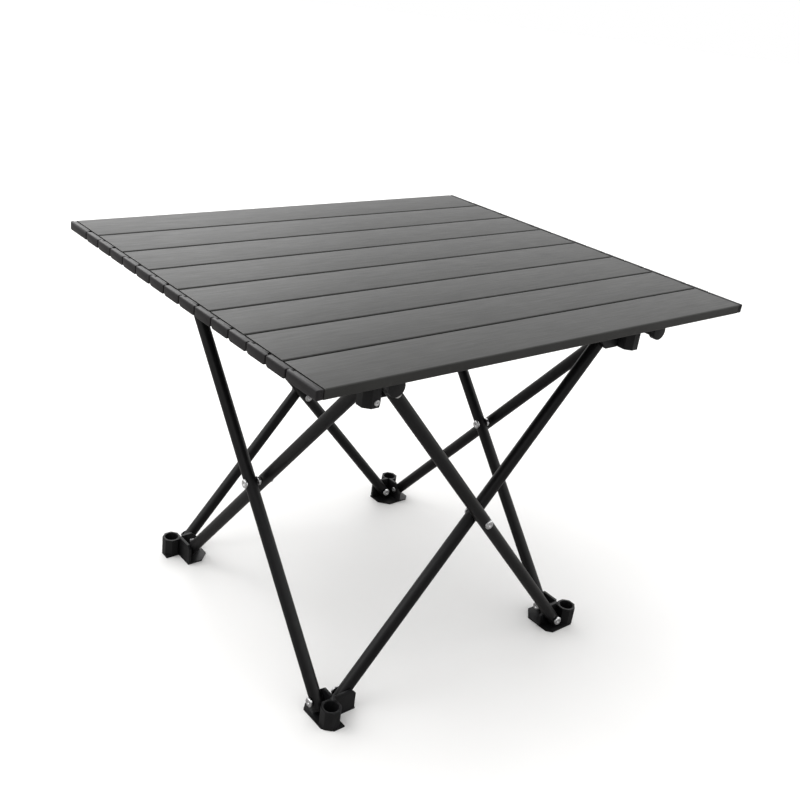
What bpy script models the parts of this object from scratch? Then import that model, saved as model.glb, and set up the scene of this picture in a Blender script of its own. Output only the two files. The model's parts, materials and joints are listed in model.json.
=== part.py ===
"""Folding side table: a roll-up slatted top on a bunch-folding frame of eight crossed tubes.

World frame in metres: +X runs along the slats, -Y is the front edge, +Z is up, and the origin is on the
floor under the middle of the table. The frame has four-fold symmetry about +Z. Seen from outside each
wall, the outer tube rises from the lower right foot to the upper left hub.
"""

import math

import bmesh
import bpy
from mathutils import Matrix, Vector

# ---------------------------------------------------------------- driving dimensions (metres)
TOP_HEIGHT = 0.306  # floor to table surface
TOP_WIDTH = 0.404  # along the slats, over the plastic ends
SLAT_COUNT = 8
SLAT_WIDTH = 0.0415
SLAT_GAP = 0.0018
SLAT_THICK = 0.0070
SLAT_WALL = 0.0011
SLAT_CHAMFER = 0.0006

STRIP = 0.0050  # thickness along X of the plastic row that closes each side
STRIP_SKIN = 0.0024  # outer layer of that row, which covers the tongues
TONGUE_RADIUS = 0.0030  # round end of a link, centred on its pin
PIN_RADIUS = 0.0014
PIN_HOLE_RADIUS = 0.0017
NICK = 0.0008  # gap between neighbouring pieces of the row
PIECE_FILLET = 0.0025  # rounds the lower corners, so that the row can roll under
PLUG_LENGTH = 0.012  # reach of an end cap into its slat

POST_SPACING = 0.1282  # post axis to the table's middle, along X and along Y
POST_RADIUS = 0.0082
SOCKET_RADIUS = 0.0060
SOCKET_FLOOR = 0.0030
FOOT_POST_HEIGHT = 0.0165
FLANGE_THICK = 0.0024
FLANGE_LENGTH = 0.0262  # post axis to the flange's free edge
FLANGE_HEIGHT = 0.0185
FLANGE_CUT = 0.0060  # size of the cut corners on a hub
INNER_WING_CUT = 0.0040  # on a foot, the flange beside the inner tube
OUTER_WING_CUT = 0.0090  # on a foot, the flange beside the outer tube
BASE_THICK = 0.0012
BASE_MARGIN = 0.0085  # base plate past the post axis, outwards
BASE_CUT = 0.0090
BASE_CORNER = 0.0072  # cut of the base plate's outermost corner
HUB_DROP = 0.0070  # pivot to the underside of a hub
WEB_THICK = 0.0036  # plate that closes the inner corner of a hub

TUBE_RADIUS = 0.0050
TUBE_WALL = 0.0010
TUBE_OVERHANG = 0.0070  # tube end past its pivot
OUTER_OFFSET = 0.0010  # outer tube's plane outside the post axis
RIVET_RADIUS = 0.0020
RIVET_HOLE_RADIUS = 0.0024
RIVET_HEAD_RADIUS = 0.0034
RIVET_HEAD_THICK = 0.0010

RAIL_RADIUS = 0.0052
RAIL_WALL = 0.0012
RAIL_END = 0.0250  # rail past the post axis, front and back
COLLAR_RADIUS = 0.0056
COLLAR_LENGTH = 0.0030
HOOK_PAD = 0.0070  # hook plastic between a slat and the top of the rail
HOOK_WALL = 0.0025
HOOK_LENGTH = 0.0160
HOOK_OPEN = 10  # degrees above the rail's middle where the hook's bore ends
HOOK_STEPS = 5
HOOK_SLATS = (2, 7)
BASE_SLAT = 4  # the slat that the others roll up around

GAP = 0.0003  # between pieces that touch or run on each other
TUBE_SIDES = 20
HOLE_SIDES = 10
RIVET_SIDES = 12
SOCKET_SIDES = 16
POST_SIDES = 8

# ---------------------------------------------------------------- sizes that follow
PITCH = SLAT_WIDTH + SLAT_GAP
SLAT_BOTTOM = TOP_HEIGHT - SLAT_THICK
STRIP_X = TOP_WIDTH / 2 - STRIP  # inner face of the plastic row
SLAT_END_X = STRIP_X - GAP
PIN_Y = PITCH / 4  # pin to the middle of its slat, and to the middle of its gap
PIN_Z = SLAT_BOTTOM + SLAT_THICK / 2

TUBE_REACH = math.hypot(TUBE_OVERHANG, TUBE_RADIUS)
FOOT_PIVOT_HEIGHT = BASE_THICK + TUBE_REACH + GAP
OUTER = POST_SPACING + OUTER_OFFSET
FLANGE = OUTER - TUBE_RADIUS - GAP - FLANGE_THICK / 2
INNER = FLANGE - FLANGE_THICK / 2 - GAP - TUBE_RADIUS
PIVOT = POST_SPACING - POST_RADIUS - TUBE_REACH - 2 * GAP

RAIL_Z = SLAT_BOTTOM - HOOK_PAD - GAP - RAIL_RADIUS
HUB_PIVOT_Z = RAIL_Z - RAIL_RADIUS - TUBE_REACH - 5 * GAP
HUB_BOTTOM = HUB_PIVOT_Z - HUB_DROP
WEB_BOTTOM = HUB_PIVOT_Z + TUBE_REACH + 2 * GAP
LEG_LENGTH = math.hypot(2 * PIVOT, HUB_PIVOT_Z - FOOT_PIVOT_HEIGHT)
LEG_ANGLE = math.atan2(HUB_PIVOT_Z - FOOT_PIVOT_HEIGHT, 2 * PIVOT)
CROSSING_Z = (HUB_PIVOT_Z + FOOT_PIVOT_HEIGHT) / 2

# The frame's walls and corners, in turn about +Z: a quarter turn takes each name to the next.
WALLS = ("front", "right", "back", "left")
CORNERS = ("front_left", "front_right", "back_right", "back_left")


# ---------------------------------------------------------------- scene and materials
def clear_scene():
    for item in list(bpy.data.objects):
        bpy.data.objects.remove(item, do_unlink=True)


def make_collection(name):
    collection = bpy.data.collections.new(name)
    bpy.context.scene.collection.children.link(collection)
    return collection


def make_material(name, colour, roughness, metallic):
    material = bpy.data.materials.new(name)
    material.use_nodes = True
    shader = material.node_tree.nodes["Principled BSDF"]
    shader.inputs["Base Color"].default_value = (*colour, 1.0)
    shader.inputs["Roughness"].default_value = roughness
    shader.inputs["Metallic"].default_value = metallic
    return material


clear_scene()
TABLE = make_collection("folding_side_table")
WORKSHOP = make_collection("workshop")
SLAT_PAINT = make_material("slat_paint", (0.13, 0.13, 0.135), 0.62, 0.3)
TUBE_PAINT = make_material("tube_paint", (0.02, 0.02, 0.022), 0.42, 0.2)
BLACK_PLASTIC = make_material("black_plastic", (0.025, 0.025, 0.027), 0.55, 0.0)
BRIGHT_METAL = make_material("bright_metal", (0.78, 0.78, 0.8), 0.3, 1.0)


# ---------------------------------------------------------------- mesh helpers
def finish_mesh(builder, name):
    mesh = bpy.data.meshes.new(name)
    bmesh.ops.recalc_face_normals(builder, faces=builder.faces)
    builder.to_mesh(mesh)
    builder.free()
    return mesh


def box(low, high):
    """A block between two opposite corners."""
    builder = bmesh.new()
    low, high = Vector(low), Vector(high)
    place = Matrix.Translation((low + high) / 2) @ Matrix.Diagonal((*(high - low), 1.0))
    bmesh.ops.create_cube(builder, size=1.0, matrix=place)
    return finish_mesh(builder, "box")


def along(axis):
    """The turn that takes +Z to an axis named X, Y or Z."""
    target = Vector([name == axis for name in "XYZ"])
    return Vector((0, 0, 1)).rotation_difference(target).to_matrix().to_4x4()


def cylinder(axis, centre, radius, length, sides=HOLE_SIDES):
    """A round bar centred on a point, with its faces' flats across the axis."""
    builder = bmesh.new()
    place = Matrix.Translation(centre) @ along(axis) @ Matrix.Rotation(math.pi / sides, 4, "Z")
    bmesh.ops.create_cone(
        builder, cap_ends=True, segments=sides, radius1=radius, radius2=radius, depth=length, matrix=place
    )
    return finish_mesh(builder, "bar")


def prism(outline, low, high, axis):
    """A flat outline swept between two places on an axis. X takes (y, z), Y takes (x, z), Z takes (x, y)."""
    curve = bpy.data.curves.new("outline", "CURVE")
    curve.dimensions = "2D"
    curve.fill_mode = "BOTH"
    curve.extrude = (high - low) / 2
    spline = curve.splines.new("POLY")
    spline.points.add(len(outline) - 1)
    for point, (across, up) in zip(spline.points, outline):
        point.co = (across, up, 0.0, 1.0)
    spline.use_cyclic_u = True
    holder = bpy.data.objects.new("outline", curve)
    WORKSHOP.objects.link(holder)
    depsgraph = bpy.context.evaluated_depsgraph_get()
    mesh = bpy.data.meshes.new_from_object(holder.evaluated_get(depsgraph))
    bpy.data.objects.remove(holder)
    middle = (low + high) / 2
    turns = {
        "X": Matrix(((0, 0, 1, middle), (1, 0, 0, 0), (0, 1, 0, 0), (0, 0, 0, 1))),
        "Y": Matrix(((1, 0, 0, 0), (0, 0, 1, middle), (0, 1, 0, 0), (0, 0, 0, 1))),
        "Z": Matrix.Translation((0, 0, middle)),
    }
    builder = bmesh.new()
    builder.from_mesh(mesh)
    bmesh.ops.remove_doubles(builder, verts=builder.verts, dist=1e-6)
    bmesh.ops.transform(builder, matrix=turns[axis], verts=builder.verts)
    bpy.data.meshes.remove(mesh)
    return finish_mesh(builder, "prism")


def combine(name, base, joins=(), cuts=()):
    """One closed mesh from a base mesh, the meshes joined to it and the meshes cut from it."""
    tools = []
    host = bpy.data.objects.new(name, base)
    WORKSHOP.objects.link(host)
    for operation, meshes in (("UNION", joins), ("DIFFERENCE", cuts)):
        for mesh in meshes:
            tool = bpy.data.objects.new("tool", mesh)
            WORKSHOP.objects.link(tool)
            tools.append(tool)
            step = host.modifiers.new(operation.title(), "BOOLEAN")
            step.operation = operation
            step.object = tool
    depsgraph = bpy.context.evaluated_depsgraph_get()
    result = bpy.data.meshes.new_from_object(host.evaluated_get(depsgraph))
    result.name = name
    for item in (host, *tools):
        bpy.data.objects.remove(item)
    return result


def piece(name, mesh, material, origin=(0, 0, 0), turn=None, parent=None):
    """A named piece: its mesh is given about the world's middle, and its origin is moved to its joint."""
    turn = turn or Matrix.Identity(4)
    origin = Vector(origin)
    mesh = mesh.copy()
    mesh.name = name
    mesh.transform(Matrix.Translation(-origin))
    mesh.materials.clear()
    mesh.materials.append(material)
    mesh.shade_smooth()
    mesh.set_sharp_from_angle(angle=math.radians(35))
    item = bpy.data.objects.new(name, mesh)
    TABLE.objects.link(item)
    item.parent = parent
    item.matrix_world = turn @ Matrix.Translation(origin)
    return item


def quarter(count):
    return Matrix.Rotation(count * math.pi / 2, 4, "Z")


# ---------------------------------------------------------------- top
def slat_y(number):
    """Middle of a slat: number 1 is at the front."""
    return (number - (SLAT_COUNT + 1) / 2) * PITCH


def hinge_y(y, number):
    """A slat or link turns on the pin nearer to the base slat. Link k lies behind slat k."""
    return y + PIN_Y if number < BASE_SLAT else y - PIN_Y


def slat_outline(y, shrink, chamfer):
    half = SLAT_WIDTH / 2 - shrink
    low, high = SLAT_BOTTOM + shrink, TOP_HEIGHT - shrink
    return [
        (y - half, low + chamfer),
        (y - half + chamfer, low),
        (y + half - chamfer, low),
        (y + half, low + chamfer),
        (y + half, high - chamfer),
        (y + half - chamfer, high),
        (y - half + chamfer, high),
        (y - half, high - chamfer),
    ]


def hook_outline(side):
    """Section across a rail: a pad on top of it and a wall down its outer side, to the rail's middle."""
    axis_x = POST_SPACING
    bore = RAIL_RADIUS + GAP
    turn = (90 - HOOK_OPEN) / HOOK_STEPS
    arc = [
        (axis_x + bore * math.cos(angle), RAIL_Z + bore * math.sin(angle))
        for angle in (math.radians(HOOK_OPEN + turn * step) for step in range(HOOK_STEPS))
    ]
    outside = axis_x + bore + HOOK_WALL
    points = arc + [
        (axis_x, RAIL_Z + bore),
        (axis_x - bore, RAIL_Z + bore),
        (axis_x - bore, SLAT_BOTTOM + SLAT_WALL / 2),
        (outside, SLAT_BOTTOM + SLAT_WALL / 2),
        (outside, arc[0][1]),
    ]
    return [(side * x, z) for x, z in points]


def make_slat(number):
    y = slat_y(number)
    base = prism(slat_outline(y, 0.0, SLAT_CHAMFER), -SLAT_END_X, SLAT_END_X, "X")
    hollow = prism(slat_outline(y, SLAT_WALL, SLAT_CHAMFER / 2), -TOP_WIDTH, TOP_WIDTH, "X")
    hooks = []
    if number in HOOK_SLATS:
        hooks = [
            prism(hook_outline(side), y - HOOK_LENGTH / 2, y + HOOK_LENGTH / 2, "Y") for side in (-1, 1)
        ]
    mesh = combine("slat", base, joins=hooks, cuts=[hollow])
    return piece(f"slat_{number}", mesh, SLAT_PAINT, origin=(0, hinge_y(y, number), PIN_Z))


def side_outline(low, high, fillets):
    """Outline in (y, z) of a piece of the side row, with its lower corners rounded where fillets says."""
    points = []
    radius = PIECE_FILLET
    if fillets[0]:
        centre = (low + radius, SLAT_BOTTOM + radius)
        points += [
            (centre[0] + radius * math.cos(a), centre[1] + radius * math.sin(a))
            for a in (math.radians(180 + 22.5 * k) for k in range(5))
        ]
    else:
        points.append((low, SLAT_BOTTOM))
    if fillets[1]:
        centre = (high - radius, SLAT_BOTTOM + radius)
        points += [
            (centre[0] + radius * math.cos(a), centre[1] + radius * math.sin(a))
            for a in (math.radians(270 + 22.5 * k) for k in range(5))
        ]
    else:
        points.append((high, SLAT_BOTTOM))
    return points + [(high, TOP_HEIGHT), (low, TOP_HEIGHT)]


def span_x(side, low, high):
    """An interval along X on one side of the table, as low and high world values."""
    return tuple(sorted((side * low, side * high)))


def make_cap(number, side, word):
    """End cap: a plug in the slat, a block that closes the side row, and a pin for each link."""
    y = slat_y(number)
    free_front, free_back = number == 1, number == SLAT_COUNT
    reach = PIN_Y - NICK / 2
    skin_low = y - (SLAT_WIDTH / 2 if free_front else reach)
    skin_high = y + (SLAT_WIDTH / 2 if free_back else reach)
    back_off = PIN_Y - TONGUE_RADIUS - GAP
    core_low = y - (SLAT_WIDTH / 2 - GAP if free_front else back_off)
    core_high = y + (SLAT_WIDTH / 2 - GAP if free_back else back_off)
    outer_x = TOP_WIDTH / 2
    skin_x = outer_x - STRIP_SKIN
    skin = prism(
        side_outline(skin_low, skin_high, (not free_front, not free_back)),
        *span_x(side, skin_x, outer_x),
        "X",
    )
    core_x = span_x(side, STRIP_X, skin_x + GAP)
    core = box((core_x[0], core_low, SLAT_BOTTOM + GAP), (core_x[1], core_high, TOP_HEIGHT - GAP))
    inside = SLAT_WALL + GAP
    plug_x = span_x(side, SLAT_END_X - PLUG_LENGTH, SLAT_END_X)
    plug = box(
        (plug_x[0], y - SLAT_WIDTH / 2 + inside, SLAT_BOTTOM + inside),
        (plug_x[1], y + SLAT_WIDTH / 2 - inside, TOP_HEIGHT - inside),
    )
    neck_x = span_x(side, SLAT_END_X - 2 * GAP, STRIP_X + 2 * GAP)
    neck = box(
        (neck_x[0], y - back_off + GAP, SLAT_BOTTOM + inside + GAP),
        (neck_x[1], y + back_off - GAP, TOP_HEIGHT - inside - GAP),
    )
    pins = []
    pin_x = span_x(side, SLAT_END_X - 2 * GAP, skin_x - 3 * GAP)
    for end, free in ((-1, free_front), (1, free_back)):
        if not free:
            middle = (sum(pin_x) / 2, y + end * PIN_Y, PIN_Z)
            pins.append(cylinder("X", middle, PIN_RADIUS, pin_x[1] - pin_x[0]))
    mesh = combine("cap", skin, joins=[core, neck, plug, *pins])
    return piece(f"cap_{word}_{number}", mesh, BLACK_PLASTIC, origin=(0, hinge_y(y, number), PIN_Z))


def make_link(number, side, word):
    """Link across the gap behind slat number: a block level with the caps, and a tongue to each pin."""
    y = slat_y(number) + PITCH / 2
    reach = PIN_Y - NICK / 2
    outer_x = TOP_WIDTH / 2
    tongue_x = outer_x - STRIP_SKIN - GAP
    skin_x = span_x(side, tongue_x - GAP, outer_x)
    skin = prism(side_outline(y - reach, y + reach, (True, True)), *skin_x, "X")
    ends = [
        (y + end * PIN_Y + TONGUE_RADIUS * math.cos(a), PIN_Z + TONGUE_RADIUS * math.sin(a))
        for end, first in ((-1, 90), (1, 270))
        for a in (math.radians(first + 22.5 * k) for k in range(9))
    ]
    tongue = prism(ends, *span_x(side, STRIP_X, tongue_x), "X")
    depth = tongue_x - GAP - STRIP_X
    holes = [
        cylinder("X", (side * STRIP_X, y + end * PIN_Y, PIN_Z), PIN_HOLE_RADIUS, 2 * depth) for end in (-1, 1)
    ]
    mesh = combine("link", skin, joins=[tongue], cuts=holes)
    return piece(f"link_{word}_{number}", mesh, BLACK_PLASTIC, origin=(0, hinge_y(y, number), PIN_Z))


# ---------------------------------------------------------------- frame
def bracket(low, high):
    """The two flanges of the front left corner as one upright L, open to the table's middle."""
    outside = -FLANGE - FLANGE_THICK / 2
    inside = -FLANGE + FLANGE_THICK / 2
    free = -POST_SPACING + FLANGE_LENGTH
    outline = [
        (outside, outside),
        (free, outside),
        (free, inside),
        (inside, inside),
        (inside, free),
        (outside, free),
    ]
    return prism(outline, low, high, "Z")


def corner_cuts(level, size, upward):
    """Wedges that cut the flanges' free corners at a height. upward is +1 at a top, -1 at a bottom."""
    free = -POST_SPACING + FLANGE_LENGTH
    over = 2 * GAP
    outline = [
        (free - size, level + upward * over),
        (free - size + over / 2, level),
        (free + over / 2, level - upward * size),
        (free + size, level - upward * size),
        (free + size, level + upward * over),
    ]
    across = (-FLANGE - FLANGE_THICK, -FLANGE + FLANGE_THICK)
    return [prism(outline, *across, "Y"), prism(outline, *across, "X")]


def shoulder_cuts():
    """Slopes from the top of a foot's post up to its flanges."""
    outside = -POST_SPACING - BASE_MARGIN
    rise = FLANGE_HEIGHT - FOOT_POST_HEIGHT
    start = -POST_SPACING + POST_RADIUS / 2
    outline = [
        (outside, FOOT_POST_HEIGHT - GAP),
        (start, FOOT_POST_HEIGHT - GAP),
        (start + rise + GAP, FLANGE_HEIGHT),
        (start + rise + GAP, FLANGE_HEIGHT + rise),
        (outside, FLANGE_HEIGHT + rise),
    ]
    across = (outside, -FLANGE + FLANGE_THICK)
    return [prism(outline, *across, "Y"), prism(outline, *across, "X")]


def rivet(axis, centre, length, head_side):
    """Shank through a tube and the wall beside it, with one head. head_side is +1 or -1 along the axis."""
    shank = cylinder(axis, centre, RIVET_RADIUS, length)
    offset = Vector([name == axis for name in "XYZ"]) * head_side * (length - RIVET_HEAD_THICK) / 2
    head = cylinder(axis, Vector(centre) + offset, RIVET_HEAD_RADIUS, RIVET_HEAD_THICK, sides=RIVET_SIDES)
    return [shank, head]


def flange_rivets(outer_at, inner_at, z):
    """The two pivots of a front left corner: outer_at and inner_at name the wall of each tube."""
    inner_edge = FLANGE - FLANGE_THICK / 2 + GAP
    outer_edge = FLANGE + FLANGE_THICK / 2 - GAP
    head = TUBE_RADIUS + GAP + RIVET_HEAD_THICK
    rivets = []
    for wall, low, high, head_side in (
        (outer_at, inner_edge, OUTER + head, -1),
        (inner_at, INNER - head, outer_edge, 1),
    ):
        middle = -(low + high) / 2
        if wall == "front":
            rivets += rivet("Y", (-PIVOT, middle, z), high - low, head_side)
        else:
            rivets += rivet("X", (middle, -PIVOT, z), high - low, head_side)
    return rivets


def post(low, high):
    """Eight-sided post at the front left corner."""
    middle = (-POST_SPACING, -POST_SPACING, (low + high) / 2)
    return cylinder("Z", middle, POST_RADIUS, high - low, sides=POST_SIDES)


def foot_mesh():
    near = POST_SPACING + BASE_MARGIN
    far = POST_SPACING - FLANGE_LENGTH - GAP
    post_side = POST_SPACING - POST_RADIUS
    wing = FLANGE + FLANGE_THICK / 2 + 2 * GAP
    base = prism(
        [
            (-near + BASE_CORNER, -near),
            (-post_side, -near),
            (-post_side, -wing),
            (-far, -wing),
            (-far, -far - BASE_CUT),
            (-far - BASE_CUT, -far),
            (-near + BASE_CUT / 2, -far),
            (-near, -far - BASE_CUT / 2),
            (-near, -near + BASE_CORNER),
        ],
        0.0,
        BASE_THICK,
        "Z",
    )
    socket_high = FOOT_POST_HEIGHT + FLANGE_HEIGHT
    socket = cylinder(
        "Z",
        (-POST_SPACING, -POST_SPACING, (SOCKET_FLOOR + socket_high) / 2),
        SOCKET_RADIUS,
        socket_high - SOCKET_FLOOR,
        sides=SOCKET_SIDES,
    )
    front_cut = corner_cuts(FLANGE_HEIGHT, INNER_WING_CUT, 1)[0]
    left_cut = corner_cuts(FLANGE_HEIGHT, OUTER_WING_CUT, 1)[1]
    flanges = combine(
        "flanges",
        bracket(3 * GAP, FLANGE_HEIGHT),
        cuts=[front_cut, left_cut, *shoulder_cuts()],
    )
    rivets = flange_rivets("left", "front", FOOT_PIVOT_HEIGHT)
    body = post(GAP, FOOT_POST_HEIGHT)
    return combine("foot", base, joins=[body, flanges, *rivets], cuts=[socket])


def hub_mesh(quarters):
    """Hub in the front left corner's place, with the rail's saddle along Y once it is turned."""
    flanges = combine(
        "flanges",
        bracket(HUB_BOTTOM, WEB_BOTTOM + 3 * GAP),
        cuts=corner_cuts(HUB_BOTTOM, FLANGE_CUT, -1),
    )
    near = POST_SPACING - RAIL_RADIUS - 2 * GAP
    far = POST_SPACING - FLANGE_LENGTH + FLANGE_CUT / 2
    web = prism(
        [(-near, -near), (-far, -near), (-far, -far - FLANGE_CUT), (-far - FLANGE_CUT, -far), (-near, -far)],
        WEB_BOTTOM,
        WEB_BOTTOM + WEB_THICK,
        "Z",
    )
    axis = "Y" if quarters % 2 == 0 else "X"
    saddle = cylinder(
        axis, (-POST_SPACING, -POST_SPACING, RAIL_Z), RAIL_RADIUS + GAP, 6 * POST_RADIUS, sides=TUBE_SIDES
    )
    rivets = flange_rivets("front", "left", HUB_PIVOT_Z)
    body = post(HUB_BOTTOM + GAP, RAIL_Z)
    return combine("hub", body, joins=[flanges, web, *rivets], cuts=[saddle])


def tube_mesh(plane, rising):
    """Hollow leg in the front wall. rising is +1 where its foot end is at -X, -1 where it is at +X."""
    start = -LEG_LENGTH / 2 - TUBE_OVERHANG
    builder = bmesh.new()
    bmesh.ops.create_cone(
        builder,
        cap_ends=False,
        segments=TUBE_SIDES,
        radius1=TUBE_RADIUS,
        radius2=TUBE_RADIUS,
        depth=-2 * start,
        matrix=along("X") @ Matrix.Rotation(math.pi / TUBE_SIDES, 4, "Z"),
    )
    wall = finish_mesh(builder, "tube")
    holder = bpy.data.objects.new("tube", wall)
    WORKSHOP.objects.link(holder)
    shell = holder.modifiers.new("Wall", "SOLIDIFY")
    shell.thickness = TUBE_WALL
    shell.offset = -1.0
    depsgraph = bpy.context.evaluated_depsgraph_get()
    hollow = bpy.data.meshes.new_from_object(holder.evaluated_get(depsgraph))
    bpy.data.objects.remove(holder)
    holes = [
        cylinder("Y", (place, 0, 0), RIVET_HOLE_RADIUS, 4 * TUBE_RADIUS)
        for place in (-LEG_LENGTH / 2, 0.0, LEG_LENGTH / 2)
    ]
    mesh = combine("leg", hollow, cuts=holes)
    lean = Matrix.Rotation(-rising * LEG_ANGLE, 4, "Y")
    mesh.transform(Matrix.Translation((0, -plane, CROSSING_Z)) @ lean)
    return mesh


def cross_rivet_mesh():
    """Rivet where the two legs of the front wall cross, with a washer between them."""
    half_head = RIVET_HEAD_THICK / 2
    front = OUTER + TUBE_RADIUS + GAP
    back = INNER - TUBE_RADIUS - GAP
    shank = cylinder("Y", (0, -(front + back) / 2, CROSSING_Z), RIVET_RADIUS, front - back + 2 * GAP)
    heads = [
        cylinder("Y", (0, y, CROSSING_Z), RIVET_HEAD_RADIUS, thick, sides=RIVET_SIDES)
        for y, thick in (
            (-front - half_head, RIVET_HEAD_THICK),
            (-back + half_head, RIVET_HEAD_THICK),
            (-FLANGE, FLANGE_THICK),
        )
    ]
    return combine("cross_rivet", shank, joins=heads)


def rail_mesh():
    """Hollow rail along Y with a collar at each end, about its own axis at x = 0."""
    half = POST_SPACING + RAIL_END
    inner = RAIL_RADIUS - RAIL_WALL
    profile = [
        (inner, half),
        (COLLAR_RADIUS, half),
        (COLLAR_RADIUS, half - COLLAR_LENGTH),
        (RAIL_RADIUS, half - COLLAR_LENGTH),
        (RAIL_RADIUS, -half + COLLAR_LENGTH),
        (COLLAR_RADIUS, -half + COLLAR_LENGTH),
        (COLLAR_RADIUS, -half),
        (inner, -half),
    ]
    builder = bmesh.new()
    points = [builder.verts.new((radius, 0, up)) for radius, up in profile]
    for first, second in zip(points, points[1:] + points[:1]):
        builder.edges.new((first, second))
    outline = bpy.data.meshes.new("rail_profile")
    builder.to_mesh(outline)
    builder.free()
    holder = bpy.data.objects.new("rail_profile", outline)
    WORKSHOP.objects.link(holder)
    turned = holder.modifiers.new("Turn", "SCREW")
    turned.steps = turned.render_steps = TUBE_SIDES
    turned.use_merge_vertices = True
    turned.merge_threshold = 1e-6
    turned.use_normal_calculate = True
    depsgraph = bpy.context.evaluated_depsgraph_get()
    mesh = bpy.data.meshes.new_from_object(holder.evaluated_get(depsgraph))
    bpy.data.objects.remove(holder)
    mesh.transform(Matrix.Translation((0, 0, RAIL_Z)) @ Matrix.Rotation(-math.pi / 2, 4, "X"))
    builder = bmesh.new()
    builder.from_mesh(mesh)
    bpy.data.meshes.remove(mesh)
    return finish_mesh(builder, "rail")


# ---------------------------------------------------------------- assembly
def make_top():
    for number in range(1, SLAT_COUNT + 1):
        make_slat(number)
        for side, word in ((-1, "left"), (1, "right")):
            make_cap(number, side, word)
            if number < SLAT_COUNT:
                make_link(number, side, word)


def make_frame():
    foot = foot_mesh()
    hubs = [hub_mesh(0), hub_mesh(1)]
    outer_leg = tube_mesh(OUTER, -1)
    inner_leg = tube_mesh(INNER, 1)
    crossing = cross_rivet_mesh()
    for count, (wall, corner) in enumerate(zip(WALLS, CORNERS)):
        turn = quarter(count)
        inner_foot = (-PIVOT, -INNER, FOOT_PIVOT_HEIGHT)
        piece(f"leg_{wall}_outer", outer_leg, TUBE_PAINT, (0, -OUTER, CROSSING_Z), turn)
        piece(f"leg_{wall}_inner", inner_leg, TUBE_PAINT, inner_foot, turn)
        piece(f"cross_rivet_{wall}", crossing, BRIGHT_METAL, (0, -FLANGE, CROSSING_Z), turn)
        piece(f"foot_{corner}", foot, BLACK_PLASTIC, (-OUTER, -PIVOT, FOOT_PIVOT_HEIGHT), turn)
        # The front left hub hangs on an outer leg, the other three on inner legs.
        hub_pivot = (-PIVOT, -OUTER, HUB_PIVOT_Z) if count == 0 else (-INNER, -PIVOT, HUB_PIVOT_Z)
        piece(f"hub_{corner}", hubs[count % 2], BLACK_PLASTIC, hub_pivot, turn)
    rail = rail_mesh()
    for side, word in ((-1, "left"), (1, "right")):
        mesh = rail.copy()
        mesh.transform(Matrix.Translation((side * POST_SPACING, 0, 0)))
        piece(f"rail_{word}", mesh, TUBE_PAINT, (side * POST_SPACING, POST_SPACING, RAIL_Z))


make_top()
make_frame()
bpy.data.collections.remove(WORKSHOP)
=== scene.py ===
"""Looks for the folding side table: slats, side row, crossed legs, feet, hubs, rails and their rivets.

Every piece is in metres in the table's own frame: +X along the slats, -Y the front, +Z up. The feet and hubs are the
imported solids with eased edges, and every other piece is a numpy surface.
"""

import json
import math

import bmesh
import bpy
import numpy as np
from mathutils import Matrix, Vector


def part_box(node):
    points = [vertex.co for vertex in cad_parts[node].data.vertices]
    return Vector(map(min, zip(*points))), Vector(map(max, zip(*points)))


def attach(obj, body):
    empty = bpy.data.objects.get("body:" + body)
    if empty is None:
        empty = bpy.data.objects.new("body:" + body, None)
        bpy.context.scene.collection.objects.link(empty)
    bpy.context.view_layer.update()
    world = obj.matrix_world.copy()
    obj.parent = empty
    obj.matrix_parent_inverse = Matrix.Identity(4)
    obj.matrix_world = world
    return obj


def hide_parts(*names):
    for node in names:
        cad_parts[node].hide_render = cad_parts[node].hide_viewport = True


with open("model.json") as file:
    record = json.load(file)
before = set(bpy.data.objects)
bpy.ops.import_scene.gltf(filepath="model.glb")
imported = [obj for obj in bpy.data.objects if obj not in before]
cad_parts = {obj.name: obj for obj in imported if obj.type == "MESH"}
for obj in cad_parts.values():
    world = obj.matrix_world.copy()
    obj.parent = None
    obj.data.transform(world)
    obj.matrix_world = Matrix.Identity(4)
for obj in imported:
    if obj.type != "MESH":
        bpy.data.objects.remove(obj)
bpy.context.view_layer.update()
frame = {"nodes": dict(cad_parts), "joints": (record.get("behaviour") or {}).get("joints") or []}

SLAT_COUNT = 8
HOOK_SLATS = (2, 7)
WALLS = ("front", "right", "back", "left")
CORNERS = ("front_left", "front_right", "back_right", "back_left")

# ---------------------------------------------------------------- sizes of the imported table
JOINT_AT = {joint["name"]: joint.get("pos_m") for joint in frame["joints"]}
PIVOT, INNER, FOOT_Z = (abs(value) for value in JOINT_AT["frame_fold"])
OUTER = abs(JOINT_AT["front_right_foot_pivot"][1])
FLANGE, CROSSING_Z = abs(JOINT_AT["front_crossing"][1]), JOINT_AT["front_crossing"][2]
HUB_Z = JOINT_AT["front_left_hub_pivot"][2]
PIN_Z = JOINT_AT["slat_3_turn"][2]
RAIL_LOW, RAIL_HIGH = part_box("rail_left")
RAIL_X = (RAIL_LOW[0] + RAIL_HIGH[0]) / 2
RAIL_Z = (RAIL_LOW[2] + RAIL_HIGH[2]) / 2
POST = abs(RAIL_X)
PLAIN_LOW, PLAIN_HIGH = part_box("slat_4")
ROW_LOW, ROW_HIGH = (corner[2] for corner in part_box("cap_left_4"))
PITCH = (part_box("slat_8")[0][1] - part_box("slat_1")[0][1]) / (SLAT_COUNT - 1)
PIN_OFFSET = PITCH / 4

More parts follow.
